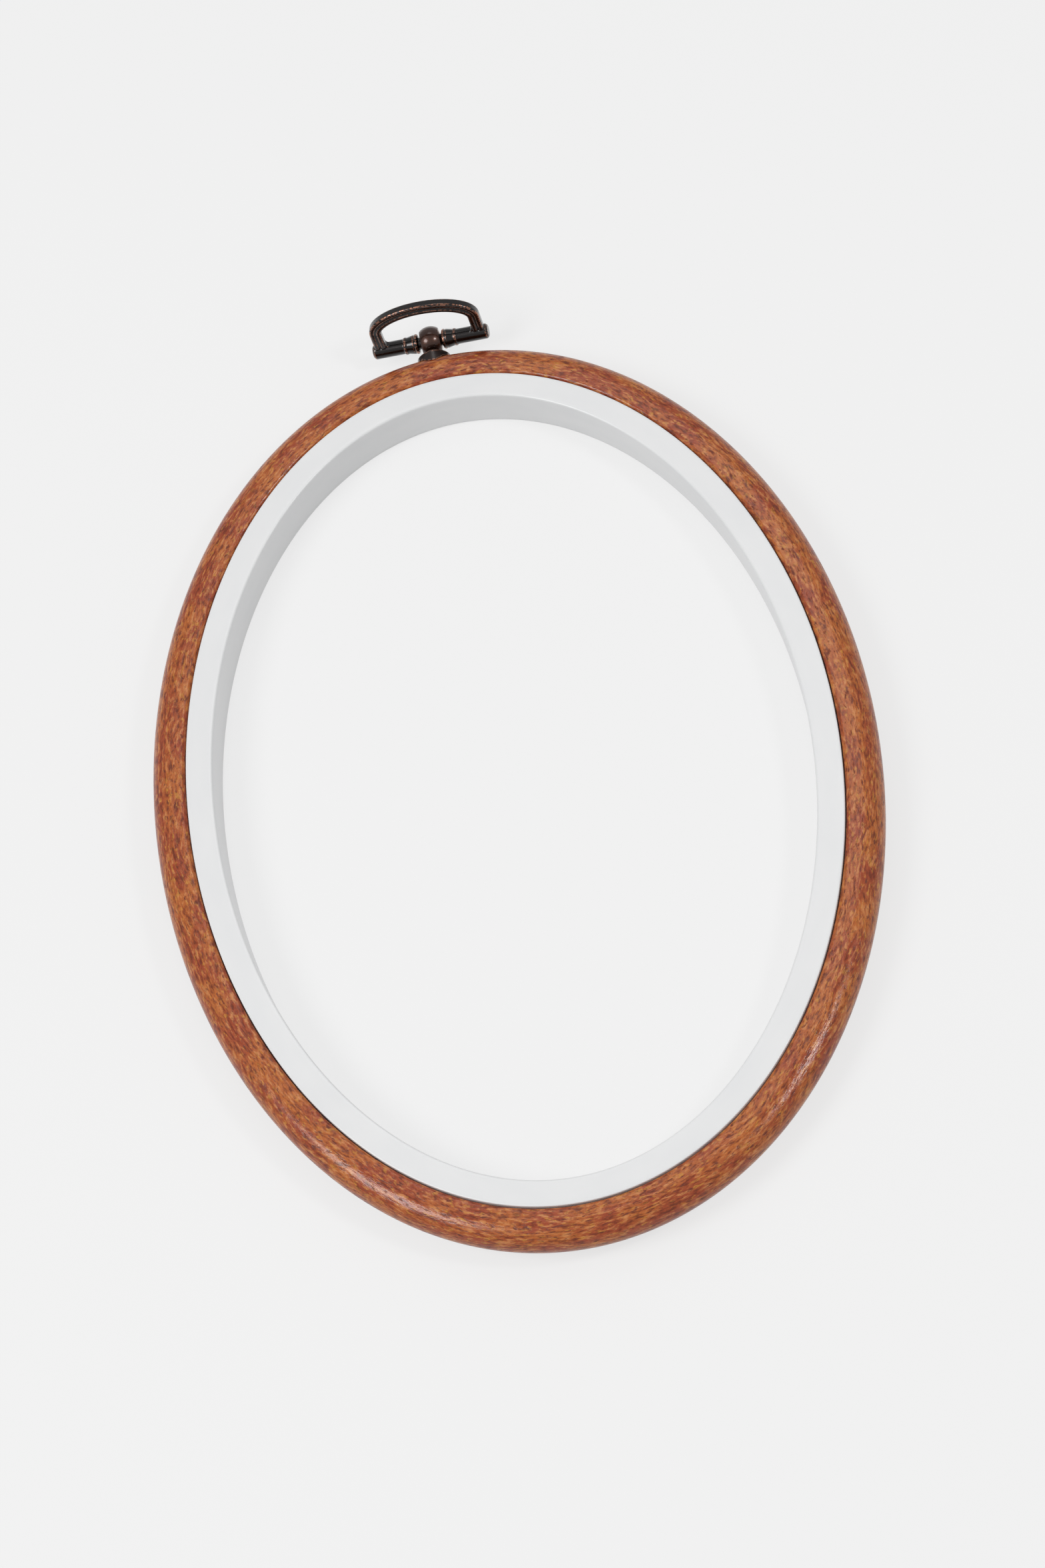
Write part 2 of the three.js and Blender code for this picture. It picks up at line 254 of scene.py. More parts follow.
# Writes where each point lies on its hoop, in millimetres: x and y run round a circle as long as the
# oval, and z runs round the section, from its seam. A pattern that reads it follows the hoop.
def markAlongHoop(piece, sectionOffset, sectionHeight, sectionRadius):
    mark = piece.data.attributes.new("alongHoop", "FLOAT_VECTOR", "POINT")
    circleRadius = ovalRun[-1] / (2 * pi)
    for vert, item in zip(piece.data.vertices, mark.data):
        x, y, z = vert.co / mm
        angle, offset = ovalPlace(x, y - hoopMiddleY)
        share = (angle / (2 * pi)) % 1 * ovalSteps
        low = min(int(share), ovalSteps - 1)
        run = ovalRun[low] + (ovalRun[low + 1] - ovalRun[low]) * (share - low)
        turn = run / circleRadius
        across = (atan2(z - sectionHeight, offset - sectionOffset) - seamAngle) % (2 * pi)
        item.vector = (circleRadius * cos(turn), circleRadius * sin(turn), sectionRadius * across)


# Writes how sharply the surface bulges at each point, in turns per millimetre: positive on crests and
# edges, which handling rubs bright, and negative in grooves, where the dark finish stays
def markRaised(piece, passes=3):
    bm = bmesh.new()
    bm.from_mesh(piece.data)
    bm.normal_update()
    leastLength = 1e-6   # metres; keeps a tiny edge from counting as an endless bend
    bulge = []
    for vert in bm.verts:
        rims = [edge.other_vert(vert).co - vert.co for edge in vert.link_edges]
        bends = [-2 * vert.normal.dot(rim) / max(rim.length_squared, leastLength ** 2) for rim in rims]
        bulge.append(sum(bends) / max(len(bends), 1) * mm)
    bm.verts.index_update()
    for turn in range(passes):
        around = [[bulge[edge.other_vert(vert).index] for edge in vert.link_edges] for vert in bm.verts]
        bulge = [(value + sum(near) / max(len(near), 1)) / 2 for value, near in zip(bulge, around)]
    bm.free()
    mark = piece.data.attributes.new("raised", "FLOAT", "POINT")
    mark.data.foreach_set("value", bulge)


# Materials

# An sRGB hex colour as the linear values that a shader takes
def colour(hexCode):
    channels = [int(hexCode[i:i + 2], 16) / 255 for i in (1, 3, 5)]
    linear = [c / 12.92 if c <= 0.04045 else ((c + 0.055) / 1.055) ** 2.4 for c in channels]
    return (*linear, 1)


# Adds a node with its settings; an input that is given a socket is linked, any other is set
def addNode(material, kind, settings, inputs):
    node = material.node_tree.nodes.new(kind)
    for name, value in settings.items():
        setattr(node, name, value)
    for name, value in inputs.items():
        if isinstance(value, bpy.types.NodeSocket):
            material.node_tree.links.new(value, node.inputs[name])
        else:
            node.inputs[name].default_value = value
    return node


def newMaterial(name):
    material = bpy.data.materials.new(name)
    material.use_nodes = True
    material.node_tree.nodes.clear()
    return material


def woodGrainVinyl():
    # Soft PVC, moulded with a pressed wood grain and wiped with a darker stain: satin orange brown, with
    # short grain streaks that wander along the hoop, dark ticks, and a grain that breaks up its highlights
    grain = {
        "base": "#B3612A", "red": "#9C4424", "gold": "#BF7E33", "dark": "#672812", "light": "#CB8650",
        # Lengths along the hoop and widths across it, in mm
        "sweepLength": 26, "sweepWidth": 9, "sweepReach": 4,
        "patchLength": 9, "patchWidth": 4,
        "streakLength": 2.2, "streakWidth": 0.58,
        "tickLength": 1.7, "tickWidth": 0.48,
        "fleckLength": 1.7, "fleckWidth": 0.6,
        "fineLength": 0.9, "fineWidth": 0.34,
        # Where each pattern sets in, where it is full, and how much of its colour it then gives
        "patchShare": (0.38, 0.62, 1), "fleckShare": (0.55, 0.7, 1), "lightShare": (0.5, 0.7, 0.85),
        "stainShare": (0.5, 0.3, 0.9), "tickShare": (0.57, 0.72, 0.95), "fineShare": (0.5, 0.3, 0.5),
        "noiseRoughness": 0.55,
        "depth": 0.09, "pressing": 0.7, "fineRelief": 0.5, "tickRelief": -0.4,
        "roughness": 0.24, "tickRoughness": 0.2, "refraction": 1.5,
    }
    material = newMaterial("woodGrainVinyl")
    place = addNode(material, "ShaderNodeAttribute", {"attribute_name": "alongHoop"}, {}).outputs["Vector"]

    def pattern(length, width, detail, source):
        scaled = addNode(material, "ShaderNodeMapping", {}, {
            "Vector": source, "Scale": (1 / length, 1 / length, 1 / width)})
        return addNode(material, "ShaderNodeTexNoise", {"noise_dimensions": "3D"}, {
            "Vector": scaled.outputs[0], "Scale": 1, "Detail": detail,
            "Roughness": grain["noiseRoughness"]}).outputs[0]

    def between(value, low, high, most):
        return addNode(material, "ShaderNodeMapRange", {"interpolation_type": "SMOOTHSTEP"}, {
            "Value": value, "From Min": low, "From Max": high, "To Max": most}).outputs[0]

    def blended(factor, first, second):
        return addNode(material, "ShaderNodeMix", {"data_type": "RGBA"}, {
            0: factor, 6: first, 7: second}).outputs[2]

    # Slow sweeps push the streaks sideways, as in flat-sawn timber
    sweep = pattern(grain["sweepLength"], grain["sweepWidth"], 1, place)
    shift = addNode(material, "ShaderNodeMath", {"operation": "MULTIPLY"}, {0: sweep, 1: grain["sweepReach"]})
    aside = addNode(material, "ShaderNodeCombineXYZ", {}, {"Z": shift.outputs[0]})
    swept = addNode(material, "ShaderNodeVectorMath", {"operation": "ADD"}, {
        0: place, 1: aside.outputs[0]}).outputs[0]

    patches = between(pattern(grain["patchLength"], grain["patchWidth"], 2, swept), *grain["patchShare"])
    streaks = pattern(grain["streakLength"], grain["streakWidth"], 3, swept)
    ticks = between(pattern(grain["tickLength"], grain["tickWidth"], 2, swept), *grain["tickShare"])
    flecks = between(pattern(grain["fleckLength"], grain["fleckWidth"], 2, swept), *grain["fleckShare"])
    fine = pattern(grain["fineLength"], grain["fineWidth"], 2, swept)

    ground = blended(patches, colour(grain["base"]), colour(grain["red"]))
    golden = blended(flecks, ground, colour(grain["gold"]))
    lit = blended(between(streaks, *grain["lightShare"]), golden, colour(grain["light"]))
    stained = blended(between(streaks, *grain["stainShare"]), lit, colour(grain["dark"]))
    ticked = blended(ticks, stained, colour(grain["dark"]))
    wood = blended(between(fine, *grain["fineShare"]), ticked, colour(grain["dark"]))

    relief = addNode(material, "ShaderNodeMath", {"operation": "MULTIPLY_ADD"}, {
        0: fine, 1: grain["fineRelief"], 2: streaks})
    height = addNode(material, "ShaderNodeMath", {"operation": "MULTIPLY_ADD"}, {
        0: ticks, 1: grain["tickRelief"], 2: relief.outputs[0]})
    bump = addNode(material, "ShaderNodeBump", {}, {
        "Strength": grain["pressing"], "Distance": grain["depth"] * mm, "Height": height.outputs[0]})
    rough = addNode(material, "ShaderNodeMath", {"operation": "MULTIPLY_ADD"}, {
        0: ticks, 1: grain["tickRoughness"], 2: grain["roughness"]})
    shader = addNode(material, "ShaderNodeBsdfPrincipled", {}, {
        "Base Color": wood, "Roughness": rough.outputs[0], "IOR": grain["refraction"],
        "Normal": bump.outputs[0]})
    addNode(material, "ShaderNodeOutputMaterial", {}, {"Surface": shader.outputs[0]})
    return material


def whiteStyrene():
    # High-impact polystyrene, injection moulded in a polished tool: even, plain white with a soft shine,
    # faint flow clouds, and hair scuffs where the outer hoop is drawn over it
    styrene = {
        "white": "#E9E9E9", "cloud": "#E1E2E3",
        "cloudSize": 14, "scuffLength": 40, "scuffWidth": 0.25,   # mm
        "peelSize": 0.9, "peelDepth": 0.01, "peelStrength": 0.15,
        "roughness": 0.3, "scuffStart": 0.58, "scuffFull": 0.72, "scuffRoughness": 0.12,
        "refraction": 1.59,
    }
    material = newMaterial("whiteStyrene")
    place = addNode(material, "ShaderNodeAttribute", {"attribute_name": "alongHoop"}, {}).outputs["Vector"]

    def pattern(length, width, detail):
        scaled = addNode(material, "ShaderNodeMapping", {}, {
            "Vector": place, "Scale": (1 / length, 1 / length, 1 / width)})
        return addNode(material, "ShaderNodeTexNoise", {"noise_dimensions": "3D"}, {
            "Vector": scaled.outputs[0], "Scale": 1, "Detail": detail}).outputs[0]

    clouds = pattern(styrene["cloudSize"], styrene["cloudSize"] / 2, 2)
    scuffs = addNode(material, "ShaderNodeMapRange", {"interpolation_type": "SMOOTHSTEP"}, {
        "Value": pattern(styrene["scuffLength"], styrene["scuffWidth"], 1),
        "From Min": styrene["scuffStart"], "From Max": styrene["scuffFull"],
        "To Max": styrene["scuffRoughness"]})
    peel = pattern(styrene["peelSize"], styrene["peelSize"], 1)
    white = addNode(material, "ShaderNodeMix", {"data_type": "RGBA"}, {
        0: clouds, 6: colour(styrene["white"]), 7: colour(styrene["cloud"])})
    rough = addNode(material, "ShaderNodeMath", {"operation": "ADD"}, {
        0: scuffs.outputs[0], 1: styrene["roughness"]})
    bump = addNode(material, "ShaderNodeBump", {}, {
        "Strength": styrene["peelStrength"], "Distance": styrene["peelDepth"] * mm, "Height": peel})
    shader = addNode(material, "ShaderNodeBsdfPrincipled", {}, {
        "Base Color": white.outputs[2], "Roughness": rough.outputs[0], "IOR": styrene["refraction"],
        "Normal": bump.outputs[0]})
    addNode(material, "ShaderNodeOutputMaterial", {}, {"Surface": shader.outputs[0]})
    return material


# The plated pieces' own finishes: darkest and brownest tone, roughness, and how bright the specks are rubbed
platedFinishes = {
    "splitPin": ("#2A1A17", "#5C3A2C", 0.36, 0.6),
    "cupWasher": ("#1C1514", "#3A2820", 0.38, 0.7),
    "hangingRing": ("#141314", "#211B1A", 0.3, 0.75),
}


def antiqueCopper(name, dark, brown, roughness, wear):
    # Copper plate on a zinc casting or brass wire, blackened, relieved by tumbling and lacquered: nearly
    # black, with specks of warm copper along the crests and edges, under a thin clear shine
    plate = {
        "copper": "#C08468", "mottleSize": 1.1, "speckSize": 0.45, "gritSize": 0.2,   # mm
        "edgeStart": 0.4, "edgeFull": 1.3,   # bulge, in turns per mm
        "speckStart": 0.42, "speckFull": 0.58, "gritLow": 0.3, "gritHigh": 0.7,
        "smoother": 0.05, "rougher": 0.1,    # how far the grit moves the roughness each way
        "gritDepth": 0.02, "gritStrength": 0.3,
        "lacquerRoughness": 0.18,
    }
    material = newMaterial(name)
    place = addNode(material, "ShaderNodeTexCoord", {}, {}).outputs["Object"]
    raised = addNode(material, "ShaderNodeAttribute", {"attribute_name": "raised"}, {}).outputs["Fac"]

    def cloud(size, detail):
        return addNode(material, "ShaderNodeTexNoise", {}, {
            "Vector": place, "Scale": 1 / (size * mm), "Detail": detail}).outputs[0]

    def between(value, low, high, least=0, most=1):
        return addNode(material, "ShaderNodeMapRange", {"interpolation_type": "SMOOTHSTEP"}, {
            "Value": value, "From Min": low, "From Max": high, "To Min": least, "To Max": most}).outputs[0]

    mottle = cloud(plate["mottleSize"], 3)
    grit = cloud(plate["gritSize"], 2)
    edge = between(raised, plate["edgeStart"], plate["edgeFull"])
    specks = between(cloud(plate["speckSize"], 2), plate["speckStart"], plate["speckFull"], 0, wear)
    rubbed = addNode(material, "ShaderNodeMath", {"operation": "MULTIPLY"}, {0: edge, 1: specks}).outputs[0]
    finish = addNode(material, "ShaderNodeMix", {"data_type": "RGBA"}, {
        0: mottle, 6: colour(dark), 7: colour(brown)}).outputs[2]
    metal = addNode(material, "ShaderNodeMix", {"data_type": "RGBA"}, {
        0: rubbed, 6: finish, 7: colour(plate["copper"])}).outputs[2]
    least, most = roughness - plate["smoother"], roughness + plate["rougher"]
    rough = between(grit, plate["gritLow"], plate["gritHigh"], least, most)
    bump = addNode(material, "ShaderNodeBump", {}, {
        "Strength": plate["gritStrength"], "Distance": plate["gritDepth"] * mm, "Height": grit}).outputs[0]
    shader = addNode(material, "ShaderNodeBsdfPrincipled", {}, {
        "Base Color": metal, "Metallic": 1, "Roughness": rough, "Normal": bump,
        "Coat Weight": 1, "Coat Roughness": plate["lacquerRoughness"]})
    addNode(material, "ShaderNodeOutputMaterial", {}, {"Surface": shader.outputs[0]})
    return material


def dress(piece, material, body, node):
    piece.data.materials.clear()
    piece.data.materials.append(material)
    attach(piece, body)
    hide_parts(node)
    print(piece.name, len(piece.data.polygons), "faces")


# Outer hoop

def outerSection(swell=0):
    width, crown, edge, setBack = (outerHoop[key] for key in ("width", "crown", "edge", "setBack"))
    halfDepth = (outerHigh.z - outerLow.z) / 2
    crownPoints = arcPoints(
        width - crown, hoopMiddleZ, crown + swell, halfDepth + swell, -90, 90, outerHoop["crownSteps"])
    corners = [(setBack - swell, hoopMiddleZ - halfDepth - swell, edge)]
    corners += [(x, y, 0) for x, y in crownPoints]
    corners += [(setBack - swell, hoopMiddleZ + halfDepth + swell, edge)]
    return roundedOutline(corners, outerHoop["spacing"])


def makeOuterHoop():
    hoop = finished(ovalRing(outerSection(), outerHoop["ringSteps"]), "outerHoop")
    across = Matrix.Rotation(pi / 2, 4, "X")
    through = 3 * outerHoop["width"]
    hole = rod(outerHoop["pinHole"], through, across, (0, crestY, hoopMiddleZ))
    wide, deep, tall = outerHoop["recess"]
    recess = block((wide, 2 * deep, tall), (0, crestY - outerHoop["width"], hoopMiddleZ))
    combined(hoop, "DIFFERENCE", [finished(hole, "pinHole"), finished(recess, "pinRecess")])
    sharpened(hoop)
    markAlongHoop(hoop, outerHoop["width"] / 2, hoopMiddleZ, (outerHigh.z - outerLow.z) / 2)
    return hoop


# Inner hoop

innerHoop = {
    "gap": 0.05,           # to the meeting line, where the outer hoop grips it
    "width": 5.85,
    "draft": 0.1,          # how much wider the section is at the back
    "wall": 1.5,           # the two walls beside the channel in the back
    "skin": 2,             # left over the channel at the front
    "edge": 0.25,          # rounding of the front edge beside the outer hoop
    "round": 0.5,          # rounding of the front edge round the opening
    "backRound": 1.1,      # rounding of the back edge round the opening
    "lipReach": 1.6,
    "lipThickness": 1.8,
    "lipEdge": 0.3,
    "lipRoot": 0.2,
    "gripCount": 3,
    "gripHeight": 0.35,
    "gripWidth": 0.4,
    "gripFlank": 0.35,
    "gripFoot": 0.1,       # rounding where a grip ridge rises
    "gripCrest": 0.12,     # rounding of its crest
    "channelEdge": 0.2,
    "channelCorner": 0.3,
    "ribCount": 24,
    "ribThickness": 1,
    "ribSetBack": 1.2,
    "ribOverlap": 0.3,     # how far a rib goes into the walls and the skin
    "turnStep": 22,        # degrees between the points of a rounding
    "spacing": 0.5,
    "ringSteps": 360,
}


def innerSection():
    sizes = innerHoop
    front = innerHigh.z
    outside = -sizes["gap"]
    inside = outside - sizes["width"]
    relief = outside - sizes["gripHeight"]
    channelOuter = relief - sizes["wall"]
    channelInner = inside + sizes["wall"]
    channelTop = front - sizes["skin"]
    pitch = (front - sizes["lipThickness"] - sizes["skin"]) / sizes["gripCount"]
    span = sizes["gripWidth"] + 2 * sizes["gripFlank"]
    corners = [
        (sizes["lipReach"], 0, sizes["lipEdge"]),
        (sizes["lipReach"], sizes["lipThickness"], sizes["lipEdge"]),
        (relief, sizes["lipThickness"], sizes["lipRoot"]),
    ]
    for i in range(sizes["gripCount"]):
        foot = sizes["lipThickness"] + (i + 0.5) * pitch - span / 2
        corners += [
            (relief, foot, sizes["gripFoot"]),
            (outside, foot + sizes["gripFlank"], sizes["gripCrest"]),
            (outside, foot + sizes["gripFlank"] + sizes["gripWidth"], sizes["gripCrest"]),
            (relief, foot + span, sizes["gripFoot"]),
        ]
    corners += [
        (relief, channelTop, sizes["gripFoot"]),
        (outside, channelTop + sizes["gripFlank"], sizes["gripCrest"]),
        (outside, front, sizes["edge"]),
        (inside, front, sizes["round"]),
        (inside - sizes["draft"], 0, sizes["backRound"]),
        (channelInner - sizes["draft"], 0, sizes["channelEdge"]),
        (channelInner, channelTop, sizes["channelCorner"]),
        (channelOuter, channelTop, sizes["channelCorner"]),
        (channelOuter, 0, sizes["channelEdge"]),
    ]
    return roundedOutline(corners, sizes["spacing"], sizes["turnStep"])


def makeInnerHoop():
    sizes = innerHoop
    hoop = finished(ovalRing(innerSection(), sizes["ringSteps"]), "innerHoop")
    outer = -sizes["gap"] - sizes["gripHeight"] - sizes["wall"] + sizes["ribOverlap"]
    inner = -sizes["gap"] - sizes["width"] + sizes["wall"] - sizes["draft"] - sizes["ribOverlap"]
    top = innerHigh.z - sizes["skin"] + sizes["ribOverlap"]
    foot = sizes["ribSetBack"]
    ribs = bmesh.new()
    for i in range(sizes["ribCount"]):
        angle = (i + 0.5) / sizes["ribCount"] * 2 * pi
        middle = ovalPoint(angle, (outer + inner) / 2)
        outward = ovalPoint(angle, 1) - ovalPoint(angle, 0)
        aside = Matrix.Rotation(atan2(outward.y, outward.x), 3, "Z")
        made = bmesh.ops.create_cube(ribs, size=1)["verts"]
        bmesh.ops.scale(ribs, vec=(outer - inner, sizes["ribThickness"], top - foot), verts=made)
        bmesh.ops.rotate(ribs, cent=(0, 0, 0), matrix=aside, verts=made)
        bmesh.ops.translate(ribs, vec=(middle.x, middle.y + hoopMiddleY, (top + foot) / 2), verts=made)
    combined(hoop, "UNION", [finished(ribs, "ribs")])
    sharpened(hoop)
    markAlongHoop(hoop, -sizes["gap"] - sizes["width"] / 2, hoopMiddleZ, sizes["width"])
    return hoop


# Split pin and cup washer

splitPin = {
    "headRadius": 3.45,
    "headFlat": 2.2,       # from the head's middle to each of its flat sides
    "headEdge": 0.3,       # rounding beside the flat sides
    "headSteps": 40,       # points round the ball between its flat sides
    "headTurns": 96,
    "boreRadius": 1.72,    # cross hole for the bar, at its middle
    "boreMouth": 2,
    "boreEdge": 0.15,
    "legRadius": 1.1,
    "legGap": 0.2,
    "legBendRadius": 1,
    "legReach": 2.7,
    "legDepth": 0.8,       # how far behind the meeting line the spread legs lie
    "legEdge": 0.12,
    "legRound": (100, 260),   # degrees; where the half round of a leg's section starts and ends
    "legSteps": 16,
    "legStep": 0.16,       # mm between the rings of a leg
    "spacing": 0.3,
    "crispAngle": 40,      # degrees
}


# Draws a section along straight stretches and bends in the XY plane, each given as its length and its
# turn in degrees, positive to the left. A section point is a distance to the left and a height.
def bentWire(section, start, heading, moves, step):
    bm = bmesh.new()
    place, ahead = Vector((*start, 0)), Vector((*heading, 0))
    up = Vector((0, 0, 1))
    geometry = wire(bm, [place + up.cross(ahead) * left + up * height for left, height in section])
    bmesh.ops.contextual_create(bm, geom=geometry)
    for length, turn in moves:
        steps = max(1, round(length / step))
        if turn == 0:
            made = bmesh.ops.spin(
                bm, geom=geometry, cent=(0, 0, 0), axis=up, dvec=ahead * length / steps, angle=0, steps=steps)
            place = place + ahead * length
        else:
            centre = place + up.cross(ahead) * length / radians(turn)
            made = bmesh.ops.spin(bm, geom=geometry, cent=centre, axis=up, angle=radians(turn), steps=steps)
            spun = Matrix.Rotation(radians(turn), 3, "Z")
            place = centre + spun @ (place - centre)
            ahead = spun @ ahead
        geometry = [item for item in made["geom_last"] if not isinstance(item, bmesh.types.BMFace)]
    bmesh.ops.contextual_create(bm, geom=[item for item in geometry if isinstance(item, bmesh.types.BMEdge)])
    return bm


# A leg, from its spread end inward and then up into the head. Its own x runs along the hoop's depth and
# its y outward from the hoop.
def makeLeg(side):
    sizes = splitPin
    radius = sizes["legRadius"]
    middle = radius / 2
    legX = sizes["legGap"] / 2 + middle
    footY = crestY - outerHoop["width"] + sizes["legDepth"] + middle
    bend = sizes["legBendRadius"]
    top = barMiddle.y - (sizes["headRadius"] + sizes["boreMouth"]) / 2
    roundSide = arcPoints(middle, 0, radius, radius, *sizes["legRound"], sizes["legSteps"])
    corners = [(x, y, 0) for x, y in roundSide]
    corners += [(middle, sign * radius, sizes["legEdge"]) for sign in (-1, 1)]
    section = roundedOutline(corners, sizes["spacing"])
    moves = [(sizes["legReach"] - legX - bend, 0), (bend * pi / 2, -90), (top - footY - bend, 0)]
    bm = bentWire(section, (sizes["legReach"], footY), (-1, 0), moves, sizes["legStep"])
    stand = Matrix(((0, 0, -1, 0), (0, 1, 0, 0), (side, 0, 0, hoopMiddleZ), (0, 0, 0, 1)))
    bmesh.ops.transform(bm, matrix=stand, verts=bm.verts)
    return finished(bm, "pinLeg")


def makeSplitPin():
    sizes = splitPin
    radius, flat, mouth = sizes["headRadius"], sizes["headFlat"], sizes["boreMouth"]
    sideAngle = asin(flat / radius) * 180 / pi
    outside = arcPoints(0, 0, radius, radius, sideAngle, -sideAngle, sizes["headSteps"])
    bore = [(mouth, -flat, sizes["boreEdge"]), (sizes["boreRadius"], 0, 0), (mouth, flat, sizes["boreEdge"])]
    head = [(x, y, 0) for x, y in outside]
    head[0], head[-1] = ((*outside[i], sizes["headEdge"]) for i in (0, -1))
    section = roundedOutline(bore + head, sizes["spacing"])
    bm = turned([(x, away, 0) for away, x in section], (1, 0, 0), sizes["headTurns"], True)
    bmesh.ops.translate(bm, vec=barMiddle, verts=bm.verts)
    pin = finished(bm, "splitPin", sizes["crispAngle"])
    combined(pin, "UNION", [makeLeg(1), makeLeg(-1)])
    sharpened(pin, sizes["crispAngle"])
    markRaised(pin)
    return pin


cupWasher = {
    "radius": 3.8,
    "topRadius": 2.2,
    "height": 1.75,
    "rim": 0.5,            # straight edge round its foot
    "rimBreak": 0.12,      # the slight bevel above it
    "topEdge": 0.1,
    "skirt": 2.6,          # how far the cup would reach down before it is fitted to the hoop
    "bore": 1.52,
    "seat": 0.12,          # it sits this close on the hoop
    "flareSteps": 14,
    "turns": 72,
    "spacing": 0.3,
}


def makeCupWasher():
    sizes = cupWasher
    radius, top, bore = sizes["radius"], sizes["height"], sizes["bore"]
    flare = arcPoints(
        radius, top, radius - sizes["topRadius"], top - sizes["rim"], 270, 180, sizes["flareSteps"])
    corners = [(bore, -sizes["skirt"], 0), (radius, -sizes["skirt"], 0)]
    corners += [(radius, sizes["rim"] - sizes["rimBreak"], 0)]
    corners += [(x, y, 0) for x, y in flare[1:-1]]
    corners += [(sizes["topRadius"], top, sizes["topEdge"]), (bore, top, sizes["topEdge"])]
    section = roundedOutline(corners, sizes["spacing"])
    bm = turned([(away, 0, height) for away, height in section], (0, 0, 1), sizes["turns"], True)
    stand = Matrix.Translation((0, crestY, hoopMiddleZ)) @ Matrix.Rotation(-pi / 2, 4, "X")
    bmesh.ops.transform(bm, matrix=stand, verts=bm.verts)
    washer = finished(bm, "cupWasher")
    seat = finished(ovalRing(outerSection(sizes["seat"]), outerHoop["ringSteps"]), "washerSeat")
    combined(washer, "DIFFERENCE", [seat])
    sharpened(washer)
    markRaised(washer)
    return washer


# Hanging ring

hangingRing = {
    "barLength": 26.8,
    "barRadius": 1.75,
    "barEdge": 0.45,
    "barTurns": 48,
    "neckRadius": 1.4,     # in the hole of the pin's head
    "neckEnd": 2.81,
    "beadRadius": 2.3,
    "beadLength": 0.8,
    "beadSteps": 12,
    "shoulderRadius": 2.2,
    "shoulderEdge": 0.15,
    "taperRadius": 1.85,
    "taperEnd": 5.4,
    "collarRadius": 1.98,
    "collarLength": 0.7,
    "collarEdge": 0.12,
    "archWidth": 25.4,
    "archHeight": 12.3,
    "archLimb": 5.8,
    "archBand": 2.65,
    "archThickness": 2.1,
    "archEdge": 0.5,
    "archSteps": 72,
    "archFillet": 1,       # inside corners between the arch and the bar
    "filletThickness": 1.7,
    "filletRoot": 1,       # how far a fillet goes into the arch
    "filletSteps": 10,
    "reedDepth": 0.34,
    "reedWidth": 0.8,
    "reedEdge": 0.25,
    "reedBottom": 0.12,
    "spacing": 0.3,
    "turn": (80, -4, -6),  # degrees; how it stands in the pin's head
    "facet": 0.1,          # size of the facets that melt the bar and the arch into one casting
    "smoothing": 0.5,
    "smoothPasses": 3,
}


# Half of the bar's outline, from its middle out: neck, bead, long taper, collar, plain end
def barOutline():
    sizes = hangingRing
    neckEnd, bead = sizes["neckEnd"], sizes["beadLength"] / 2
    beadEnd = neckEnd + sizes["beadLength"]
    taperEnd, collarEnd = sizes["taperEnd"], sizes["taperEnd"] + sizes["collarLength"]
    return [
        (0, sizes["neckRadius"]),
        (neckEnd, sizes["neckRadius"]),
        *arcPoints(neckEnd + bead, sizes["beadRadius"] - bead, bead, bead, 180, 0, sizes["beadSteps"]),
        (beadEnd + sizes["shoulderEdge"], sizes["shoulderRadius"]),
        (taperEnd, sizes["taperRadius"]),
        (taperEnd + sizes["collarEdge"], sizes["collarRadius"]),
        (collarEnd - sizes["collarEdge"], sizes["collarRadius"]),
        (collarEnd, sizes["barRadius"]),
        (sizes["barLength"] / 2 - sizes["barEdge"], sizes["barRadius"]),
        (sizes["barLength"] / 2, sizes["barRadius"] - sizes["barEdge"]),
        (sizes["barLength"] / 2, 0),
    ]


def makeBar():
    half = barOutline()
    outline = [(-x, radius) for x, radius in half[:0:-1]] + half[1:]
    return turned([(x, radius, 0) for x, radius in outline], (1, 0, 0), hangingRing["barTurns"])


# The arch: its reeded section is turned half round, stretched to the arch's shape, and its two ends are
# drawn down to the bar
def makeArch():
    sizes = hangingRing
    band, thick, reed = sizes["archBand"] / 2, sizes["archThickness"] / 2, sizes["reedWidth"] / 2
    face = [
        (band, thick, sizes["archEdge"]),
        (reed, thick, sizes["reedEdge"]),
        (0, thick - sizes["reedDepth"], sizes["reedBottom"]),
        (-reed, thick, sizes["reedEdge"]),
        (-band, thick, sizes["archEdge"]),
    ]
    section = roundedOutline(face + [(-x, -y, radius) for x, y, radius in face], sizes["spacing"])
    limbX = (sizes["archWidth"] - sizes["archBand"]) / 2
    rise = sizes["archHeight"] - sizes["archBand"] / 2 - sizes["archLimb"]
    bm = bmesh.new()
    geometry = wire(bm, [(limbX + x, 0, y) for x, y in section])
    ends = [edge for edge in geometry if isinstance(edge, bmesh.types.BMEdge)]
    made = bmesh.ops.spin(
        bm, geom=geometry, cent=(0, 0, 0), axis=(0, 0, 1), angle=pi, steps=sizes["archSteps"])
    ends += [edge for edge in made["geom_last"] if isinstance(edge, bmesh.types.BMEdge)]
    for vert in bm.verts:
        angle = atan2(vert.co.y, vert.co.x)
        offset = hypot(vert.co.x, vert.co.y) - limbX
        outward = Vector((cos(angle) / limbX, sin(angle) / rise)).normalized()
        vert.co.x = limbX * cos(angle) + outward.x * offset
        vert.co.y = sizes["archLimb"] + rise * sin(angle) + outward.y * offset
    drawn = bmesh.ops.extrude_edge_only(bm, edges=ends)["geom"]
    feet = [item for item in drawn if isinstance(item, bmesh.types.BMVert)]
    bmesh.ops.translate(bm, vec=(0, -sizes["archLimb"], 0), verts=feet)
    bmesh.ops.holes_fill(bm, edges=[edge for edge in bm.edges if edge.is_boundary])
    return bm


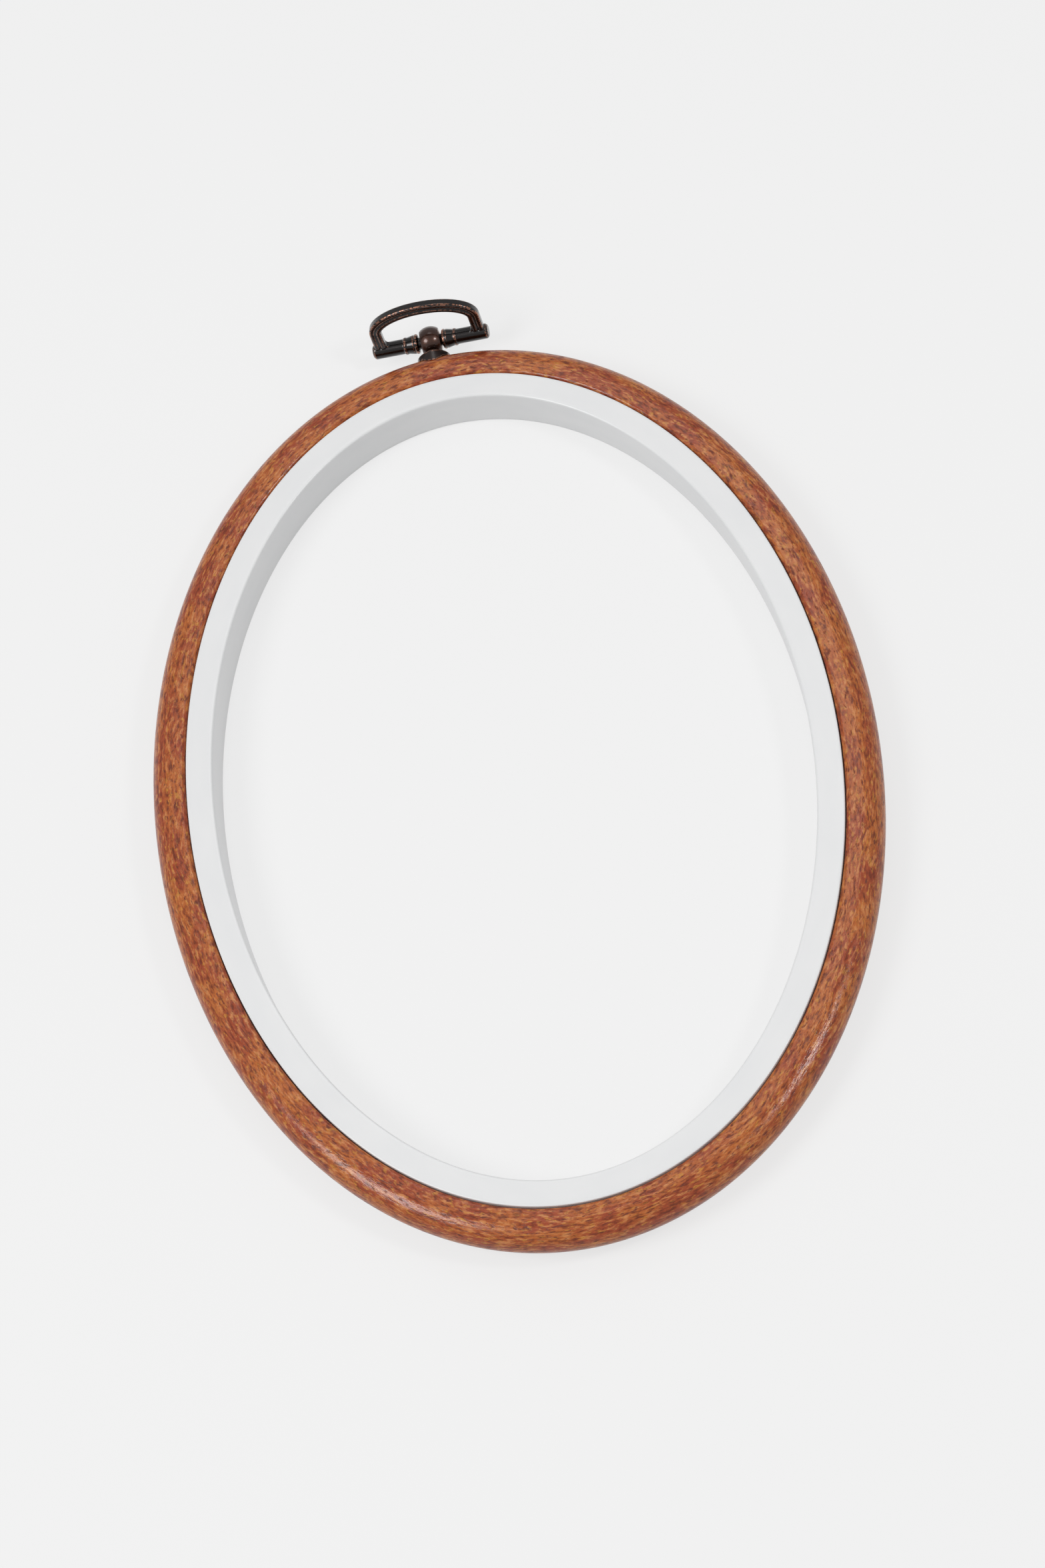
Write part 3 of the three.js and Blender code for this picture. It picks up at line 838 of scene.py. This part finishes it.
# Filling in the corner between the bar and a side of the arch
def makeFillet(side):
    sizes = hangingRing
    reach, depth = sizes["archFillet"], sizes["filletThickness"]
    innerFace = sizes["archWidth"] / 2 - sizes["archBand"]
    root = innerFace + sizes["filletRoot"]
    foot = sqrt(sizes["barRadius"] ** 2 - depth ** 2 / 4)
    outline = [(innerFace - reach, 0)]
    outline += arcPoints(innerFace - reach, foot + reach, reach, reach, -90, 0, sizes["filletSteps"])
    outline += [(root, foot), (root, 0)]
    bm = bmesh.new()
    geometry = wire(bm, [(side * x, y, -depth / 2) for x, y in outline])
    sheet = bmesh.ops.contextual_create(bm, geom=geometry)["faces"]
    drawn = bmesh.ops.extrude_face_region(bm, geom=sheet, use_keep_orig=True)["geom"]
    moved = [item for item in drawn if isinstance(item, bmesh.types.BMVert)]
    bmesh.ops.translate(bm, vec=(0, 0, depth), verts=moved)
    return finished(bm, "fillet")


def makeHangingRing():
    sizes = hangingRing
    ring = finished(makeBar(), "hangingRing")
    combined(ring, "UNION", [finished(makeArch(), "arch"), makeFillet(1), makeFillet(-1)])
    melt = ring.modifiers.new("melt", "REMESH")
    melt.mode = "VOXEL"
    melt.voxel_size = sizes["facet"] * mm
    bakedIn(ring)
    bm = bmesh.new()
    bm.from_mesh(ring.data)
    for turn in range(sizes["smoothPasses"]):
        bmesh.ops.smooth_vert(
            bm, verts=bm.verts, factor=sizes["smoothing"], use_axis_x=True, use_axis_y=True, use_axis_z=True)
    for face in bm.faces:
        face.smooth = True
    stand = Euler([radians(angle) for angle in sizes["turn"]]).to_matrix().to_4x4()
    bmesh.ops.transform(bm, matrix=Matrix.Translation(barMiddle * mm) @ stand, verts=bm.verts)
    bm.to_mesh(ring.data)
    bm.free()
    markRaised(ring)
    return ring


vinyl = woodGrainVinyl()
styrene = whiteStyrene()
pinCopper = antiqueCopper("antiqueCopperPin", *platedFinishes["splitPin"])
washerCopper = antiqueCopper("antiqueCopperCup", *platedFinishes["cupWasher"])
ringCopper = antiqueCopper("antiqueCopperCasting", *platedFinishes["hangingRing"])
print("materials made")

dress(makeOuterHoop(), vinyl, "outer_hoop", "outer_hoop")
dress(makeInnerHoop(), styrene, "inner_hoop", "inner_hoop")
dress(makeSplitPin(), pinCopper, "outer_hoop", "split_pin")
dress(makeCupWasher(), washerCopper, "outer_hoop", "cup_washer")
dress(makeHangingRing(), ringCopper, "hanging_ring", "hanging_ring")
print("pieces made")


# Studio

studio = {
    "floor": "#FEFEFE",
    "paper": 0.6,             # how much light the floor gives back to the hoop
    "paperRoughness": 0.9,
    "paperShine": 0.1,
    "fibreSize": 0.5,         # mm
    "fibreDepth": 0.02,
    "fibreStrength": 0.05,
    "shadowShare": 0.28,      # how much of the floor's own shading the picture shows
    "floorSize": 4000,        # mm
    "floorDrop": 0.05,        # below the hoop
    "skyStrength": 0.47,
    "cameraPlace": (69.66, -472.27, 824.83),
    "cameraAim": (2.1, -9.12, 10.7),
    "cameraRoll": -20.26,     # degrees
    "cameraView": 20,         # degrees over the picture's long side
}

# Softboxes: azimuth from the front toward the right and height above the horizon, in degrees, distance
# and size in mm, and power in watts
softboxes = {
    "rightBox": (75, 50, 1100, 200, 2.4),
    "leftBox": (-72, 52, 1100, 500, 5),
    "backBox": (175, 60, 1200, 500, 0.8),
}


def paleFloor():
    # Matt paper, seen nearly white: the picture and the reflections get part of its own shading, which
    # keeps a soft shadow, and part of an even pale ground
    material = newMaterial("matPaper")
    place = addNode(material, "ShaderNodeTexCoord", {}, {}).outputs["Object"]
    fibre = addNode(material, "ShaderNodeTexNoise", {}, {
        "Vector": place, "Scale": 1 / (studio["fibreSize"] * mm), "Detail": 2})
    bump = addNode(material, "ShaderNodeBump", {}, {
        "Strength": studio["fibreStrength"], "Distance": studio["fibreDepth"] * mm,
        "Height": fibre.outputs[0]})
    grey = studio["paper"]
    paper = addNode(material, "ShaderNodeBsdfPrincipled", {}, {
        "Base Color": (grey, grey, grey, 1), "Roughness": studio["paperRoughness"],
        "Specular IOR Level": studio["paperShine"], "Normal": bump.outputs[0]})
    ground = addNode(material, "ShaderNodeEmission", {}, {"Color": colour(studio["floor"])})
    rays = addNode(material, "ShaderNodeLightPath", {}, {})
    seen = addNode(material, "ShaderNodeMath", {"operation": "MAXIMUM"}, {
        0: rays.outputs["Is Camera Ray"], 1: rays.outputs["Is Glossy Ray"]})
    shown = addNode(material, "ShaderNodeMath", {"operation": "MAXIMUM"}, {
        0: seen.outputs[0], 1: rays.outputs["Is Transmission Ray"]})
    even = addNode(material, "ShaderNodeMath", {"operation": "MULTIPLY"}, {
        0: shown.outputs[0], 1: 1 - studio["shadowShare"]})
    blend = addNode(material, "ShaderNodeMixShader", {}, {
        0: even.outputs[0], 1: paper.outputs[0], 2: ground.outputs[0]})
    addNode(material, "ShaderNodeOutputMaterial", {}, {"Surface": blend.outputs[0]})
    return material


def makeFloor():
    bm = bmesh.new()
    bmesh.ops.create_grid(bm, x_segments=1, y_segments=1, size=studio["floorSize"] / 2)
    bmesh.ops.translate(bm, vec=(0, 0, -studio["floorDrop"]), verts=bm.verts)
    floor = finished(bm, "floor")
    floor.data.materials.append(paleFloor())


def makeLights():
    world = bpy.data.worlds.new("sky")
    bpy.context.scene.world = world
    world.use_nodes = True
    background = world.node_tree.nodes["Background"]
    background.inputs["Color"].default_value = (1, 1, 1, 1)
    background.inputs["Strength"].default_value = studio["skyStrength"]
    for name, (azimuth, height, distance, size, power) in softboxes.items():
        lamp = bpy.data.lights.new(name, "AREA")
        lamp.shape = "DISK"
        lamp.size = size * mm
        lamp.energy = power
        holder = bpy.data.objects.new(name, lamp)
        bpy.context.scene.collection.objects.link(holder)
        turn, rise = radians(azimuth), radians(height)
        toward = Vector((sin(turn) * cos(rise), -cos(turn) * cos(rise), sin(rise)))
        holder.location = toward * distance * mm
        holder.rotation_euler = toward.to_track_quat("Z", "Y").to_euler()


def makeCamera():
    camera = bpy.data.cameras.new("camera")
    holder = bpy.data.objects.new("camera", camera)
    bpy.context.scene.collection.objects.link(holder)
    place, aim = Vector(studio["cameraPlace"]) * mm, Vector(studio["cameraAim"]) * mm
    roll = Quaternion((0, 0, 1), radians(studio["cameraRoll"]))
    holder.location = place
    holder.rotation_euler = ((aim - place).to_track_quat("-Z", "Y") @ roll).to_euler()
    camera.lens = camera.sensor_width / 2 / tan(radians(studio["cameraView"] / 2))
    camera.clip_start, camera.clip_end = 0.01, 20
    bpy.context.scene.camera = holder


makeFloor()
makeLights()
makeCamera()
bpy.context.scene.view_settings.view_transform = "Standard"
print("studio made")
